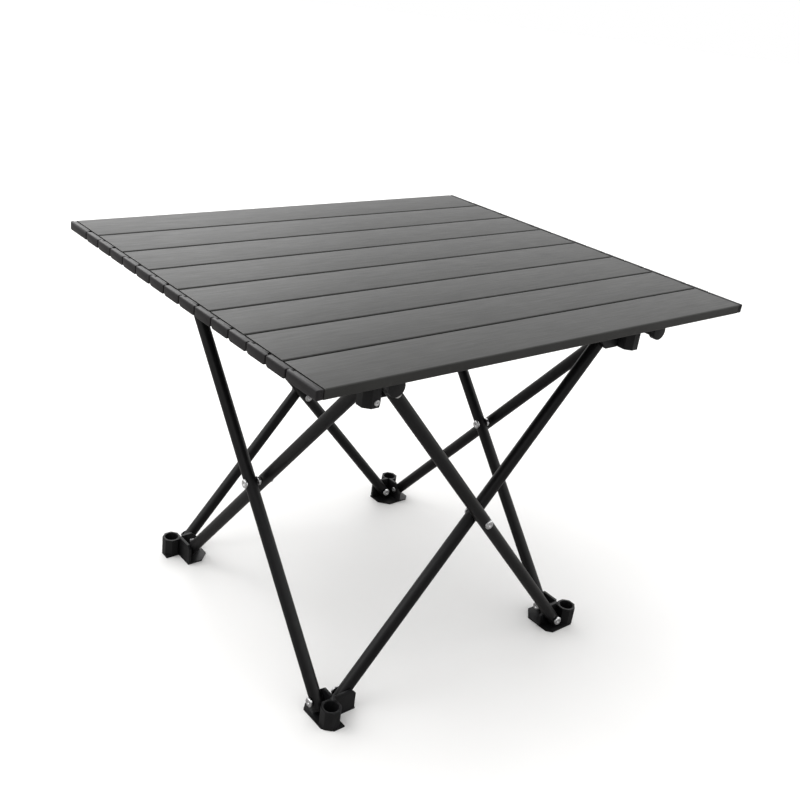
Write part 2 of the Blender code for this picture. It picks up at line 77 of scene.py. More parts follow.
# ---------------------------------------------------------------- sizes of the top's finish work
SLAT_EDGE = 0.0009
SLAT_WALL = 0.0011
STRIP = 0.0050
STRIP_SKIN = 0.0024
STRIP_EASE = 0.0007
CORNER_EASE = 0.0012
HIDDEN_EASE = 0.0002
TOP_FILLET = 0.0005
LOWER_FILLET = 0.0025
END_FILLET = 0.0012
BLOCK_FILLET = 0.0004
BLOCK_EASE = 0.0003
CLEARANCE = 0.0003
NICK = 0.0008
TONGUE_RADIUS = 0.0030
TONGUE_GAP = 0.0001
PIN_RADIUS = 0.0014
PIN_SINK = 0.0003
PLUG_REACH = 0.012
MARK_SINK = 0.0002
MARK_PROFILE = ((0.0009, -0.0004), (0.0015, 0.0001), (0.0012, 0.0002), (0.0009, 0.0001), (0.0002, 0.0001))

HOOK_WALL = 0.0025
HOOK_LENGTH = 0.0160
HOOK_CHAMFER = 0.0006
HOOK_EASE = 0.0003
HOOK_INSET = 0.2
HOOK_SINK = 0.0002

# ---------------------------------------------------------------- sizes of the frame's finish work
TUBE_RADIUS = 0.0050
TUBE_WALL = 0.0010
TUBE_OVERHANG = 0.0070
TUBE_LIP = 0.0003
FLANGE_THICK = 0.0024
MOULDING_EASE = 0.0005

# A tube plug: radii as shares of the tube's, and heights in metres.
PLUG_STEM = ((0.74, -0.006), (0.76, 0.0001), (0.98, 0.0001))
PLUG_DOME_SHARE = 0.98
PLUG_DOME_FOOT = 0.0009
PLUG_DOME_RISE = 0.0011

# A rail plug: its stem lies in the rail, its collar against the end, and its crown turns in to a flat tip.
RAIL_RADIUS = 0.0052
RAIL_WALL = 0.0012
RAIL_SET_BACK = 0.001
PLUG_RADIUS = 0.0066
COLLAR_BACK = 0.0035
COLLAR_EDGE = 0.0031
COLLAR_CHAMFER = 0.0003
STEM_SHARE = 0.98
STEM_REACH = 0.010
CROWN_FOOT = 0.0012
CROWN_RISE = 0.0012
CROWN_PULL = 0.0010
CROWN_TURN = 0.6
CROWN_CLOSE = 0.8
CROWN_SLOPE = 2.2
CROWN_TIP = 0.0003

# Rivet heads: the rim, shoulder and hollow are shares of a head's radius and rise.
RIVET_HEAD = 0.0037
RIVET_RISE = 0.0014
BACK_HEAD = 0.0029
BACK_RISE = 0.0009
HEAD_SEAT = 0.0008
HEAD_SINK = 0.0004
HEAD_BORE = 0.5
HEAD_EDGE = 0.99
RIM_SHARE = 0.42
RIM_SHOULDER = 0.25
RIM_CROWN = 0.75
RIM_ROUND = 0.8
HOLLOW_RIM = 2.05
HOLLOW_EDGE = 0.12
HOLLOW_FLOOR = 0.10
POLE = 0.00005
EYE_RADIUS = 0.0022
EYE_FACE = 0.0075
EYE_OFFSET = 0.0008
EYE_DROP = 0.0030
WASHER_PROFILE = (
    (0.0016, -0.0012), (0.0034, -0.0012), (0.0037, -0.0009), (0.0037, 0.0009), (0.0034, 0.0012), (0.0016, 0.0012),
)

# Sides of turned pieces, and the angles in degrees past which an edge stays sharp or is eased.
ROUND = 48
PLUG_ROUND, RAIL_PLUG_ROUND = 36, 40
HEAD_ROUND = 36
PIN_ROUND, MARK_ROUND = 20, 24
CREASE = 38
FLAT_ANGLE = 1.0
EASED_ANGLE = 32
SAME_POINT = 2e-6

# ---------------------------------------------------------------- looks of the coats
# Patterns in cells a metre, the part of each that shows, and how strongly.
CLOUD_CELLS = 34.0
DRAWN_CELLS, DRAWN_RANGE = 900.0, (0.3, 0.7)
FLECK_RANGE, FLECK_SHARE, FLECK_PALER = (0.42, 0.72), 0.55, 1.45
SCUFF_CELLS, SCUFF_RANGE, SCUFF_SHARE, SCUFF_PALER = 75.0, (0.62, 0.72), 0.5, 2.2
NOISE_ROUGHNESS = 0.6
FLECK_DEPTH, DRAWN_DEPTH, DRAWN_STRENGTH = 0.00006, 0.00003, 0.10

# ---------------------------------------------------------------- room
FLOOR_RADIUS = 9.0
FLOOR_SIDES = 96
FLOOR_HEIGHT = -0.00005
FLOOR_CELLS = 3.0
FLOOR_DARK, FLOOR_LIGHT = (0.875, 0.87, 0.86), (0.90, 0.895, 0.885)
# Painted shade: the floor's colour seen only in mirror-like rays, darker than the floor itself, so its reflections
# show darker.
FLOOR_REFLECTION_PAINTED_SHADE = (0.24, 0.235, 0.23)
FLOOR_ROUGHNESS = 0.55

# The room is dimmest low down on the side the table is seen from, and brightest high up and behind it.
SKY_TOWARD = (0.45, 0.54, 0.71)
SKY_TONES = (0.10, 1.28)
SKY_RANGE = (-0.55, 0.25)
SKY_SEEN = 1.0

# Each soft light's name, place, width and power, and the point that both face.
SOFT_LIGHTS = (("key", (-0.9, 0.5, 1.9), 1.2, 7.0), ("back", (0.5, 1.7, 1.2), 1.2, 5.0))
LIGHTS_FACE = (0, 0, 0.15)
SUN_POWER, SUN_WIDTH, SUN_TILT = 0.9, 70, (-18, -28)

CAMERA_AT = (-0.4926, -0.5633, 0.5266)
CAMERA_TURN = (-39.92, 24.47, 6.915)
CAMERA_SENSOR, CAMERA_LENS = 36.0, 44.38
CAMERA_SHIFT = (0.0397, -0.0021)
CAMERA_CLIP = (0.01, 40.0)


# ---------------------------------------------------------------- surfaces
def rounded_outline(low, high, radii, steps=5):
    """A rectangle with a quarter circle at each corner, as (n, 2) points in turn.

    radii are those of the corners (low, low), (high, low), (high, high) and (low, high). At corner c the point at
    angle a is the corner's centre plus radius times (cos a, sin a), with a running over that corner's quarter turn.
    """
    (a0, b0), (a1, b1) = low, high
    r = np.array(radii, float)
    centres = np.array([
        (a0 + r[0], b0 + r[0]), (a1 - r[1], b0 + r[1]), (a1 - r[2], b1 - r[2]), (a0 + r[3], b1 - r[3]),
    ])
    start = np.radians([180.0, 270.0, 0.0, 90.0])
    turn = start[:, None] + np.linspace(0.0, math.pi / 2, steps + 1)[None, :]
    ring = np.stack([np.cos(turn), np.sin(turn)], axis=-1) * r[:, None, None] + centres[:, None, :]
    return ring.reshape(-1, 2)


def stadium(y0, y1, z, radius, steps=16):
    """Two half circles about two pins, joined by straight sides, as (n, 2) points in turn.

    At angle a from -90 to 90 degrees a point is its pin's centre plus or minus radius times (cos a, sin a).
    """
    angle = np.linspace(-math.pi / 2, math.pi / 2, steps + 1)
    right = np.stack([y1 + radius * np.cos(angle), z + radius * np.sin(angle)], axis=1)
    left = np.stack([y0 - radius * np.cos(angle), z - radius * np.sin(angle)], axis=1)
    return np.concatenate([right, left])


def lofted(rings, closed=False):
    """Faces over rings of points, an array (rings, points, 3).

    Face (i, j) joins points j and j + 1 of rings i and i + 1. The two end rings are filled, unless closed is set,
    when the last ring joins the first.
    """
    count, around = rings.shape[:2]
    i, j = np.meshgrid(np.arange(count if closed else count - 1), np.arange(around), indexing="ij")
    k, m = (i + 1) % count, (j + 1) % around
    quads = np.stack([i * around + j, i * around + m, k * around + m, k * around + j], axis=-1).reshape(-1, 4)
    faces = quads.tolist()
    if not closed:
        faces += [list(range(around))[::-1], list(range((count - 1) * around, count * around))]
    return rings.reshape(-1, 3), faces


def turned(profile, centre, axis, sides=ROUND):
    """A profile of (radius, height) points turned about an axis through a centre.

    The point at height h and angle a is the centre plus h along the axis plus radius times (u cos a + v sin a),
    where u and v are square to the axis.
    """
    axis = np.array(axis, float) / np.linalg.norm(axis)
    helper = np.array([0.0, 0.0, 1.0]) if abs(axis[2]) < 0.9 else np.array([1.0, 0.0, 0.0])
    u = np.cross(helper, axis)
    u /= np.linalg.norm(u)
    v = np.cross(axis, u)
    angle = np.linspace(0.0, 2 * math.pi, sides, endpoint=False)
    spoke = np.cos(angle)[:, None] * u + np.sin(angle)[:, None] * v
    profile = np.array(profile, float)
    return np.array(centre) + profile[:, 1, None, None] * axis + profile[:, 0, None, None] * spoke[None, :, :]


def swept(outline, places, axis, insets=None):
    """An outline of (n, 2) points carried along a world axis, one ring at each place.

    An inset shrinks its ring about the outline's middle, so that each side comes in by the inset, in metres.
    """
    outline = np.array(outline, float)
    insets = np.zeros(len(places)) if insets is None else np.array(insets, float)
    middle = (outline.min(0) + outline.max(0)) / 2
    half = (outline.max(0) - outline.min(0)) / 2
    scale = 1.0 - insets[:, None] / half[None, :]
    flat = middle + (outline - middle)[None, :, :] * scale[:, None, :]
    rings = np.empty((len(places), len(outline), 3))
    across = [i for i in range(3) if i != axis]
    rings[:, :, axis] = np.array(places, float)[:, None]
    rings[:, :, across[0]] = flat[:, :, 0]
    rings[:, :, across[1]] = flat[:, :, 1]
    return rings


def eased_ends(low, high, ease_low, ease_high, steps=4):
    """Places and insets for a block whose two end edges are quarter circles.

    At angle a from 0 to 90 degrees the place is the ease times (1 - sin a) from the end, and the inset is the ease
    times (1 - cos a).
    """
    angle = np.linspace(0.0, math.pi / 2, steps + 1)
    first = (low + ease_low * (1 - np.sin(angle)))[::-1], (ease_low * (1 - np.cos(angle)))[::-1]
    last = high - ease_high * (1 - np.sin(angle)), ease_high * (1 - np.cos(angle))
    return np.concatenate([first[0], last[0]]), np.concatenate([first[1], last[1]])


def block(low, high, axis, ends):
    """A rounded block: a rounded outline across an axis, carried between two ends with eased edges."""
    places, insets = eased_ends(*ends, BLOCK_EASE, BLOCK_EASE, 2)
    return lofted(swept(rounded_outline(low, high, [BLOCK_FILLET] * 4, 3), places, axis, insets))


# ---------------------------------------------------------------- pieces
def quarter_turns(turn):
    """The turn about +Z by whole quarter turns: x' = x cos a - y sin a and y' = x sin a + y cos a."""
    cos, sin = round(math.cos(turn * math.pi / 2)), round(math.sin(turn * math.pi / 2))
    return np.array([[cos, -sin, 0], [sin, cos, 0], [0, 0, 1]], float)


def outward(points, faces):
    """The faces wound so that the volume under their triangle fans, the sum of a . (b x c), is positive."""
    volume = sum(
        float(np.dot(points[f[0]], np.cross(points[f[k]], points[f[k + 1]])))
        for f in faces for k in range(1, len(f) - 1)
    )
    return faces if volume > 0 else [f[::-1] for f in faces]


def add_piece(name, shells, finish, body, stands_for=(), turn=0):
    """Joins closed shells into one named piece, turned by quarter turns about +Z, on the body it rides with."""
    points, faces, start = [], [], 0
    spin = quarter_turns(turn)
    for shell_points, shell_faces in shells:
        shell_points = shell_points @ spin.T
        points.append(shell_points)
        faces += [[start + v for v in f] for f in outward(shell_points, shell_faces)]
        start += len(shell_points)
    mesh = bpy.data.meshes.new(name)
    mesh.from_pydata(np.concatenate(points), [], faces)
    mesh.update()
    mesh.shade_smooth()
    mesh.set_sharp_from_angle(angle=math.radians(CREASE))
    mesh.materials.append(finish)
    item = bpy.data.objects.new(name, mesh)
    bpy.context.scene.collection.objects.link(item)
    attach(item, body)
    if stands_for:
        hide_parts(*stands_for)


# ---------------------------------------------------------------- finishes
def new_finish(name):
    """A new material with its nodes, links, shader and the piece's own coordinates."""
    material = bpy.data.materials.new(name)
    material.use_nodes = True
    nodes, links = material.node_tree.nodes, material.node_tree.links
    shader = nodes["Principled BSDF"]
    place = nodes.new("ShaderNodeTexCoord").outputs["Object"]
    return material, nodes, links, shader, place


def grain(nodes, links, place, cells, stretch=(1, 1, 1), detail=3.0):
    """A noise of so many cells a metre, drawn out along an axis whose stretch is below 1."""
    mapping = nodes.new("ShaderNodeMapping")
    mapping.inputs["Scale"].default_value = stretch
    links.new(place, mapping.inputs["Vector"])
    texture = nodes.new("ShaderNodeTexNoise")
    texture.inputs["Detail"].default_value = detail
    texture.inputs["Roughness"].default_value = NOISE_ROUGHNESS
    texture.inputs["Scale"].default_value = cells
    links.new(mapping.outputs["Vector"], texture.inputs["Vector"])
    return texture.outputs["Fac"]


def spread(nodes, links, value, low, high, start=0.35, end=0.65):
    """Maps a pattern from start to end onto low to high, and holds it there outside them."""
    node = nodes.new("ShaderNodeMapRange")
    for socket, number in (("From Min", start), ("From Max", end), ("To Min", low), ("To Max", high)):
        node.inputs[socket].default_value = number
    links.new(value, node.inputs["Value"])
    return node.outputs["Result"]


def blend_colours(nodes, links, share, dark, light):
    """A mix of two colours by a share. Each colour is three numbers or another node's output."""
    node = nodes.new("ShaderNodeMix")
    node.data_type = "RGBA"
    links.new(share, node.inputs["Factor"])
    for socket, colour in ((node.inputs[6], dark), (node.inputs[7], light)):
        if hasattr(colour, "is_output"):
            links.new(colour, socket)
        else:
            socket.default_value = (*colour, 1.0)
    return node.outputs[2]


def paler(colour, times):
    """A colour made so many times paler, up to white."""
    return tuple(min(1.0, value * times) for value in colour)


def add_bumps(nodes, links, shader, layers):
    """Stacks bump nodes, one for each (height, strength, depth in metres)."""
    previous = None
    for height, strength, depth in layers:
        bump = nodes.new("ShaderNodeBump")
        bump.inputs["Strength"].default_value = strength
        bump.inputs["Distance"].default_value = depth
        links.new(height, bump.inputs["Height"])
        if previous is not None:
            links.new(previous, bump.inputs["Normal"])
        previous = bump.outputs["Normal"]
    links.new(previous, shader.inputs["Normal"])


def coated(name, dark, light, rough, speckle, stretch=(1, 1, 1), orange_peel=0.15, specular=0.5, metallic=0.0):
    """A coat with slow mottling, speckle, drawn lines along one axis, pale scuffs and small bumps in its film."""
    material, nodes, links, shader, place = new_finish(name)
    cloud = grain(nodes, links, place, CLOUD_CELLS)
    fleck = grain(nodes, links, place, speckle, detail=2.0)
    drawn = grain(nodes, links, place, DRAWN_CELLS, stretch, detail=4.0)
    colour = blend_colours(nodes, links, spread(nodes, links, cloud, 0.0, 1.0), dark, light)
    flecked = spread(nodes, links, fleck, 0.0, FLECK_SHARE, *FLECK_RANGE)
    colour = blend_colours(nodes, links, flecked, colour, paler(light, FLECK_PALER))
    scuff = grain(nodes, links, place, SCUFF_CELLS, detail=6.0)
    scuffed = spread(nodes, links, scuff, 0.0, SCUFF_SHARE, *SCUFF_RANGE)
    colour = blend_colours(nodes, links, scuffed, colour, paler(light, SCUFF_PALER))
    links.new(colour, shader.inputs["Base Color"])
    links.new(spread(nodes, links, drawn, *rough, *DRAWN_RANGE), shader.inputs["Roughness"])
    shader.inputs["Metallic"].default_value = metallic
    shader.inputs["Specular IOR Level"].default_value = specular
    add_bumps(nodes, links, shader, [(fleck, orange_peel, FLECK_DEPTH), (drawn, DRAWN_STRENGTH, DRAWN_DEPTH)])
    return material


SLAT_COAT = coated(
    "slat_coat", dark=(0.0105, 0.0104, 0.0094), light=(0.0150, 0.0148, 0.0134), rough=(0.40, 0.50), speckle=2600.0,
    stretch=(0.05, 1, 1), orange_peel=0.30, specular=0.44,
)
TUBE_COAT = coated(
    "tube_coat", dark=(0.0030, 0.0028, 0.0031), light=(0.0050, 0.0047, 0.0051), rough=(0.28, 0.40), speckle=1900.0,
    orange_peel=0.20, specular=0.26,
)
MOULDED_BLACK = coated(
    "moulded_black", dark=(0.0030, 0.0030, 0.0034), light=(0.0060, 0.0060, 0.0066), rough=(0.36, 0.50),
    speckle=1500.0, orange_peel=0.35, specular=0.28,
)
ROW_BLACK = coated(
    "row_black", dark=(0.0045, 0.0036, 0.0042), light=(0.0080, 0.0068, 0.0076), rough=(0.32, 0.44), speckle=1700.0,
    orange_peel=0.25, specular=0.32,
)
RIVET_METAL = coated(
    "rivet_metal", dark=(0.62, 0.62, 0.63), light=(0.80, 0.80, 0.80), rough=(0.22, 0.36), speckle=1200.0,
    orange_peel=0.12, metallic=1.0,
)


# ---------------------------------------------------------------- top
def slat_middle(number):
    """The place of a slat's middle along Y."""
    low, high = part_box(f"slat_{number}")
    return (low[1] + high[1]) / 2


def add_slat(number):
    """A slat: a rounded outline in Y and Z carried along X, with its hollow as a second outline inside the first."""
    (x0, y0, _), (x1, y1, _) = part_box(f"slat_{number}")
    z0, z1 = PLAIN_LOW[2], PLAIN_HIGH[2]
    outer = rounded_outline((y0, z0), (y1, z1), [SLAT_EDGE] * 4, 6)
    inner_low, inner_high = (y0 + SLAT_WALL, z0 + SLAT_WALL), (y1 - SLAT_WALL, z1 - SLAT_WALL)
    inner = rounded_outline(inner_low, inner_high, [SLAT_EDGE / 2] * 4, 6)
    rings = np.concatenate([swept(outer, (x0, x1), 0), swept(inner, (x1, x0), 0)])
    add_piece(f"slat_{number}_panel", [lofted(rings, closed=True)], SLAT_COAT, f"slat_{number}", (f"slat_{number}",))


def row_faces(node):
    """How far the side row's outer face, the back of its skin, and the slats' ends lie from the middle plane."""
    low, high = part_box(node)
    outer_x = max(abs(low[0]), abs(high[0]))
    return outer_x, outer_x - STRIP_SKIN, outer_x - STRIP


def row_block(low_y, high_y, inner_x, outer_x, radii, ease):
    """One block of the side row: its outline lies in Y and Z, and its outer face has an eased edge."""
    eases = (HIDDEN_EASE, ease) if outer_x > inner_x else (ease, HIDDEN_EASE)
    places, insets = eased_ends(*sorted((inner_x, outer_x)), *eases)
    outline = rounded_outline((low_y, ROW_LOW), (high_y, ROW_HIGH), radii, 6)
    return lofted(swept(outline, places, 0, insets))


def add_cap(number, side, word):
    """An end cap: outer block, inner block, plug in the slat, and a pin on each side that has a link."""
    node = f"cap_{word}_{number}"
    outer_x, skin_x, strip_x = row_faces(node)
    middle = slat_middle(number)
    half = (PLAIN_HIGH[1] - PLAIN_LOW[1]) / 2
    free = (number == 1, number == SLAT_COUNT)
    lower = [END_FILLET if is_free else LOWER_FILLET for is_free in free]
    skin_low = middle - (half if free[0] else PIN_OFFSET - NICK / 2)
    skin_high = middle + (half if free[1] else PIN_OFFSET - NICK / 2)
    shells = [row_block(
        skin_low, skin_high, side * (skin_x - CLEARANCE), side * outer_x, [*lower, TOP_FILLET, TOP_FILLET],
        CORNER_EASE if any(free) else STRIP_EASE,
    )]

    back_off = PIN_OFFSET - TONGUE_RADIUS - CLEARANCE
    core_low = skin_low + CLEARANCE if free[0] else middle - back_off
    core_high = skin_high - CLEARANCE if free[1] else middle + back_off
    z0, z1 = PLAIN_LOW[2] + CLEARANCE, PLAIN_HIGH[2] - CLEARANCE
    shells.append(block((core_low, z0), (core_high, z1), 0, sorted((side * strip_x, side * skin_x))))

    inside = SLAT_WALL + CLEARANCE
    plug = half - inside
    ends = sorted((side * (strip_x - PLUG_REACH), side * (strip_x + CLEARANCE)))
    plug_low, plug_high = (middle - plug, PLAIN_LOW[2] + inside), (middle + plug, PLAIN_HIGH[2] - inside)
    shells.append(block(plug_low, plug_high, 0, ends))

    pin = [(PIN_RADIUS, -PIN_SINK), (PIN_RADIUS, STRIP - STRIP_SKIN - 2 * CLEARANCE)]
    for end, is_free in zip((-1, 1), free):
        if not is_free:
            centre = (side * strip_x, middle + end * PIN_OFFSET, PIN_Z)
            shells.append(lofted(turned(pin, centre, (side, 0, 0), PIN_ROUND)))
    if number == 1:
        centre = (side * (outer_x - STRIP / 2), skin_low + MARK_SINK, PIN_Z)
        shells.append(lofted(turned(MARK_PROFILE, centre, (0, -1, 0), MARK_ROUND)))
    add_piece(f"end_{node}", shells, ROW_BLACK, f"slat_{number}", (node,))


def add_link(number, side, word):
    """A link: an outer block level with the caps, and a tongue that reaches both pins."""
    node = f"link_{word}_{number}"
    low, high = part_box(node)
    outer_x, skin_x, strip_x = row_faces(node)
    radii = [LOWER_FILLET, LOWER_FILLET, TOP_FILLET, TOP_FILLET]
    middle = (low[1] + high[1]) / 2
    half = PIN_OFFSET - NICK / 2
    skin_ends = side * (skin_x - CLEARANCE), side * outer_x
    outline = stadium(middle - PIN_OFFSET, middle + PIN_OFFSET, PIN_Z, TONGUE_RADIUS)
    tongue_ends = sorted((side * (strip_x + TONGUE_GAP), side * (skin_x - CLEARANCE / 2)))
    shells = [
        row_block(middle - half, middle + half, *skin_ends, radii, STRIP_EASE),
        lofted(swept(outline, tongue_ends, 0)),
    ]
    add_piece(f"side_{node}", shells, ROW_BLACK, f"link_{number}", (node,))


def add_hook(number, side, word):
    """A rail hook: a pad with a bore over the rail and a wall outside it, carried along Y.

    At angle a from 10 to 90 degrees the bore's point is the rail's centre plus the bore's radius times
    (cos a, sin a) in X and Z.
    """
    bore = RAIL_RADIUS + CLEARANCE
    angle = np.radians(np.linspace(10.0, 90.0, 13))
    arc = np.stack([POST + bore * np.cos(angle), RAIL_Z + bore * np.sin(angle)], axis=1)
    top = PLAIN_LOW[2] + HOOK_SINK
    outside, tip = POST + bore + HOOK_WALL, arc[0, 1]
    rest = np.array([
        (POST - bore, RAIL_Z + bore), (POST - bore, top), (outside, top), (outside, tip + HOOK_CHAMFER),
        (outside - HOOK_CHAMFER, tip),
    ])
    outline = np.concatenate([arc, rest]) * (side, 1)
    middle = slat_middle(number)
    places, insets = eased_ends(middle - HOOK_LENGTH / 2, middle + HOOK_LENGTH / 2, HOOK_EASE, HOOK_EASE, 2)
    shells = [lofted(swept(outline, places, 1, insets * HOOK_INSET))]
    add_piece(f"hook_{word}_{number}", shells, MOULDED_BLACK, f"slat_{number}")


# ---------------------------------------------------------------- frame
def leg_line(wall_plane, rising):
    """A front leg's middle, direction and half length. rising is +1 where its foot end is at -X."""
    foot = np.array([-rising * PIVOT, -wall_plane, FOOT_Z])
    hub = np.array([rising * PIVOT, -wall_plane, HUB_Z])
    length = np.linalg.norm(hub - foot)
    return (foot + hub) / 2, (hub - foot) / length, length / 2 + TUBE_OVERHANG


def leg_shell(middle, along, half):
    """A leg: a hollow tube with rounded lips, its outside and its bore turned about the line of its pivots."""
    bore = TUBE_RADIUS - TUBE_WALL
    profile = [
        (TUBE_RADIUS, -half + TUBE_LIP), (TUBE_RADIUS, half - TUBE_LIP), (TUBE_RADIUS - TUBE_LIP, half),
        (bore + TUBE_LIP, half), (bore, half - TUBE_LIP), (bore, -half + TUBE_LIP),
        (bore + TUBE_LIP, -half), (TUBE_RADIUS - TUBE_LIP, -half),
    ]
    return lofted(turned(profile, middle, along), closed=True)


def plug_shell(centre, along):
    """A tube plug: a stem, then a low dome.

    At share h of its rise the dome's radius is its widest times the root of one minus h squared.
    """
    height = np.linspace(0.0, 0.99, 9)
    dome_radius = TUBE_RADIUS * PLUG_DOME_SHARE * np.sqrt(1 - height**2)
    dome = np.stack([dome_radius, PLUG_DOME_FOOT + PLUG_DOME_RISE * height], axis=1)
    stem = np.array(PLUG_STEM) * (TUBE_RADIUS, 1)
    return lofted(turned(np.concatenate([stem, dome]), centre, along, PLUG_ROUND))


def rivet_head(centre, axis, radius=RIVET_HEAD, rise=RIVET_RISE):
    """A half-hollow rivet head: a rolled rim round a shallow hollow.

    At angle a from 0 to 180 degrees the rim's radius is the head's less the rim's share times (1 - cos a), and its
    height is the shoulder plus the crown times the sine of a to the power of its roundness.
    """
    angle = np.linspace(0.0, math.pi, 9)
    rim = RIM_SHARE * radius
    height = RIM_SHOULDER * rise + RIM_CROWN * rise * np.sin(angle) ** RIM_ROUND
    ring = np.stack([radius - rim * (1 - np.cos(angle)), height], axis=1)
    seat = [(radius * HEAD_BORE, -HEAD_SINK), (radius * HEAD_EDGE, -HEAD_SINK), (radius, 0.0)]
    hollow = [(radius - HOLLOW_RIM * rim, HOLLOW_EDGE * rise), (POLE, HOLLOW_FLOOR * rise)]
    return lofted(turned(np.concatenate([seat, ring, hollow]), centre, axis, HEAD_ROUND))


def eased_moulding(node, name, body):
    """A moulding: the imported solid's triangles joined, its flat faces made whole, and its edges rounded."""
    builder = bmesh.new()
    builder.from_mesh(frame["nodes"][node].data)
    bmesh.ops.remove_doubles(builder, verts=builder.verts, dist=SAME_POINT)
    flat = math.radians(FLAT_ANGLE)
    bmesh.ops.dissolve_limit(builder, angle_limit=flat, verts=builder.verts, edges=builder.edges)
    mesh = bpy.data.meshes.new(name)
    builder.to_mesh(mesh)
    builder.free()
    mesh.materials.clear()
    mesh.materials.append(MOULDED_BLACK)
    mesh.shade_smooth()
    item = bpy.data.objects.new(name, mesh)
    bpy.context.scene.collection.objects.link(item)
    ease = item.modifiers.new("Eased edges", "BEVEL")
    ease.width, ease.segments, ease.limit_method = MOULDING_EASE, 2, "ANGLE"
    ease.angle_limit = math.radians(EASED_ANGLE)
    ease.use_clamp_overlap = True
    ease.harden_normals = True
    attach(item, body)
    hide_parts(node)


def add_wall(turn, wall):
    """The two legs of a wall, their plugs, and the rivet and washer where they cross."""
    for kind, plane, rising in (("outer", OUTER, -1), ("inner", INNER, 1)):
        body = f"leg_{wall}_{kind}"
        middle, along, half = leg_line(plane, rising)
        add_piece(f"{body}_tube", [leg_shell(middle, along, half)], TUBE_COAT, body, (body,), turn)
        plugs = [plug_shell(middle + end * half * along, end * along) for end in (-1, 1)]
        add_piece(f"{body}_plugs", plugs, MOULDED_BLACK, body, (), turn)
    heads = [
        rivet_head((0, -OUTER - TUBE_RADIUS, CROSSING_Z), (0, -1, 0)),
        rivet_head((0, -INNER + TUBE_RADIUS, CROSSING_Z), (0, 1, 0)),
        lofted(turned(WASHER_PROFILE, (0, -FLANGE, CROSSING_Z), (0, -1, 0), HEAD_ROUND)),
    ]
    add_piece(f"crossing_rivet_{wall}", heads, RIVET_METAL, f"leg_{wall}_inner", (f"cross_rivet_{wall}",), turn)


def add_corner(turn, corner):
    """Foot and hub mouldings of a corner with their rivets, which are given for the front left corner and turned."""
    eased_moulding(f"foot_{corner}", f"foot_{corner}_moulding", f"foot_{corner}")
    eased_moulding(f"hub_{corner}", f"hub_{corner}_moulding", f"hub_{corner}")
    head_at = TUBE_RADIUS + CLEARANCE + HEAD_SEAT
    near_face = FLANGE - FLANGE_THICK / 2
    foot_heads = [
        rivet_head((-OUTER - head_at, -PIVOT, FOOT_Z), (-1, 0, 0)),
        rivet_head((-near_face, -PIVOT, FOOT_Z), (1, 0, 0), BACK_HEAD, BACK_RISE),
        rivet_head((-PIVOT, -INNER + head_at, FOOT_Z), (0, 1, 0)),
    ]
    hub_heads = [
        rivet_head((-PIVOT, -OUTER - head_at, HUB_Z), (0, -1, 0), BACK_HEAD),
        rivet_head((-PIVOT, -near_face, HUB_Z), (0, 1, 0), BACK_HEAD, BACK_RISE),
        rivet_head((-INNER + head_at, -PIVOT, HUB_Z), (1, 0, 0)),
        rivet_head((-POST + EYE_OFFSET, -POST - EYE_FACE, HUB_Z - EYE_DROP), (0, -1, 0), EYE_RADIUS, BACK_RISE),
    ]
    add_piece(f"foot_{corner}_rivets", foot_heads, RIVET_METAL, f"foot_{corner}", (), turn)
    add_piece(f"hub_{corner}_rivets", hub_heads, RIVET_METAL, f"hub_{corner}", (), turn)


def rail_plug_profile(bore):
    """A rail plug: stem, collar, and a crown that turns in to its tip.

    At share h of its rise the crown's radius is the plug's less the pull times h cubed, less the plug's radius
    times close times slope times how far h is past the turn.
    """
    height = np.linspace(0.0, 0.99, 10)
    turned_in = PLUG_RADIUS * CROWN_CLOSE * np.clip(height - CROWN_TURN, 0, 1) * CROWN_SLOPE
    crown_radius = np.maximum(PLUG_RADIUS - CROWN_PULL * height**3 - turned_in, CROWN_TIP)
    crown = np.stack([crown_radius, CROWN_FOOT + CROWN_RISE * height], axis=1)
    stem = [
        (bore * STEM_SHARE, -STEM_REACH), (bore * STEM_SHARE, -COLLAR_BACK),
        (PLUG_RADIUS - COLLAR_CHAMFER, -COLLAR_BACK), (PLUG_RADIUS, -COLLAR_EDGE),
    ]
    return np.concatenate([stem, crown])


def add_rail(side, word, body):
    """A rail: a hollow tube along Y, with a domed plug in each end."""
    low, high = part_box(f"rail_{word}")
    end_y = (high[1] - low[1]) / 2 - RAIL_SET_BACK
    bore = RAIL_RADIUS - RAIL_WALL
    profile = [(RAIL_RADIUS, -end_y), (RAIL_RADIUS, end_y), (bore, end_y), (bore, -end_y)]
    tube = [lofted(turned(profile, (side * POST, 0.0, RAIL_Z), (0, 1, 0)), closed=True)]
    add_piece(f"rail_{word}_tube", tube, TUBE_COAT, body, (f"rail_{word}",))
    plugs = [
        lofted(turned(rail_plug_profile(bore), (side * POST, end * end_y, RAIL_Z), (0, end, 0), RAIL_PLUG_ROUND))
        for end in (-1, 1)
    ]
    add_piece(f"rail_{word}_plugs", plugs, MOULDED_BLACK, body)


